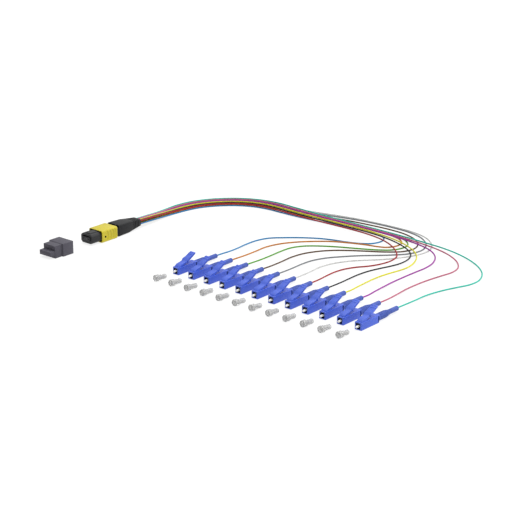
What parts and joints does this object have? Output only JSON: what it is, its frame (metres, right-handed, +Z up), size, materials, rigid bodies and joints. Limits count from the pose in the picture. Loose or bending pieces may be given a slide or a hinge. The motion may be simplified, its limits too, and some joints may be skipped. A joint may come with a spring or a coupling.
{
  "type": "fibre breakout cable",
  "caption": "Keyed multi-fibre plug whose coloured coated fibres fan out in a loose loop to a row of small single-fibre latch plugs; their dust caps lie pulled off in front.",
  "frame": {"origin": "middle of the underside of the big plug's coupling sleeve, on the surface that the cable lies on", "axes": "+Y from the plugs' noses back to their boots, +X along the row of small plugs, +Z up"},
  "size_m": [0.2276, 0.1824, 0.0102],
  "materials": {
    "plug_blue": "moulded satin",
    "boot_blue": "moulded matte elastomer",
    "cap_clear": "milky translucent",
    "sleeve_yellow": "moulded satin",
    "housing_black": "moulded satin",
    "relief_black": "moulded matte elastomer",
    "ferrule_grey": "ground and polished end",
    "cover_grey": "moulded satin",
    "fibre_blue": "smooth extruded jacket",
    "fibre_orange": "smooth extruded jacket",
    "fibre_green": "smooth extruded jacket",
    "fibre_brown": "smooth extruded jacket",
    "fibre_slate": "smooth extruded jacket",
    "fibre_white": "smooth extruded jacket",
    "fibre_red": "smooth extruded jacket",
    "fibre_black": "smooth extruded jacket",
    "fibre_yellow": "smooth extruded jacket",
    "fibre_violet": "smooth extruded jacket",
    "fibre_rose": "smooth extruded jacket",
    "fibre_aqua": "smooth extruded jacket"
  },
  "bodies": {
    "cable": {"lc_plug_01": "plug_blue", "lc_plug_02": "plug_blue", "lc_plug_03": "plug_blue", "lc_plug_04": "plug_blue", "lc_plug_05": "plug_blue", "lc_plug_06": "plug_blue", "lc_plug_07": "plug_blue", "lc_plug_08": "plug_blue", "lc_plug_09": "plug_blue", "lc_plug_10": "plug_blue", "lc_plug_11": "plug_blue", "lc_plug_12": "plug_blue", "lc_boot_01": "boot_blue", "lc_boot_02": "boot_blue", "lc_boot_03": "boot_blue", "lc_boot_04": "boot_blue", "lc_boot_05": "boot_blue", "lc_boot_06": "boot_blue", "lc_boot_07": "boot_blue", "lc_boot_08": "boot_blue", "lc_boot_09": "boot_blue", "lc_boot_10": "boot_blue", "lc_boot_11": "boot_blue", "lc_boot_12": "boot_blue", "lc_dust_cap_01": "cap_clear", "lc_dust_cap_02": "cap_clear", "lc_dust_cap_03": "cap_clear", "lc_dust_cap_04": "cap_clear", "lc_dust_cap_05": "cap_clear", "lc_dust_cap_06": "cap_clear", "lc_dust_cap_07": "cap_clear", "lc_dust_cap_08": "cap_clear", "lc_dust_cap_09": "cap_clear", "lc_dust_cap_10": "cap_clear", "lc_dust_cap_11": "cap_clear", "lc_dust_cap_12": "cap_clear", "fibre_01_blue": "fibre_blue", "fibre_02_orange": "fibre_orange", "fibre_03_green": "fibre_green", "fibre_04_brown": "fibre_brown", "fibre_05_slate": "fibre_slate", "fibre_06_white": "fibre_white", "fibre_07_red": "fibre_red", "fibre_08_black": "fibre_black", "fibre_09_yellow": "fibre_yellow", "fibre_10_violet": "fibre_violet", "fibre_11_rose": "fibre_rose", "fibre_12_aqua": "fibre_aqua", "mpo_nose_housing": "housing_black", "mpo_crimp_body": "housing_black", "mpo_strain_relief": "relief_black", "mpo_dust_cap": "cover_grey"},
    "coupling_sleeve": {"mpo_coupling_sleeve": "sleeve_yellow"},
    "ferrule_block": {"mpo_ferrule_block": "ferrule_grey"}
  },
  "joints": [
    {"name": "sleeve_slide", "type": "slide", "parent": "cable", "child": "coupling_sleeve", "axis": [0, 1, 0], "range_m": [0, 0.0015], "stiffness_N_per_m": 200, "springref_m": -0.002},
    {"name": "ferrule_float", "type": "slide", "parent": "cable", "child": "ferrule_block", "axis": [0, 1, 0], "range_m": [0, 0.0008], "stiffness_N_per_m": 500, "springref_m": -0.001}
  ]
}
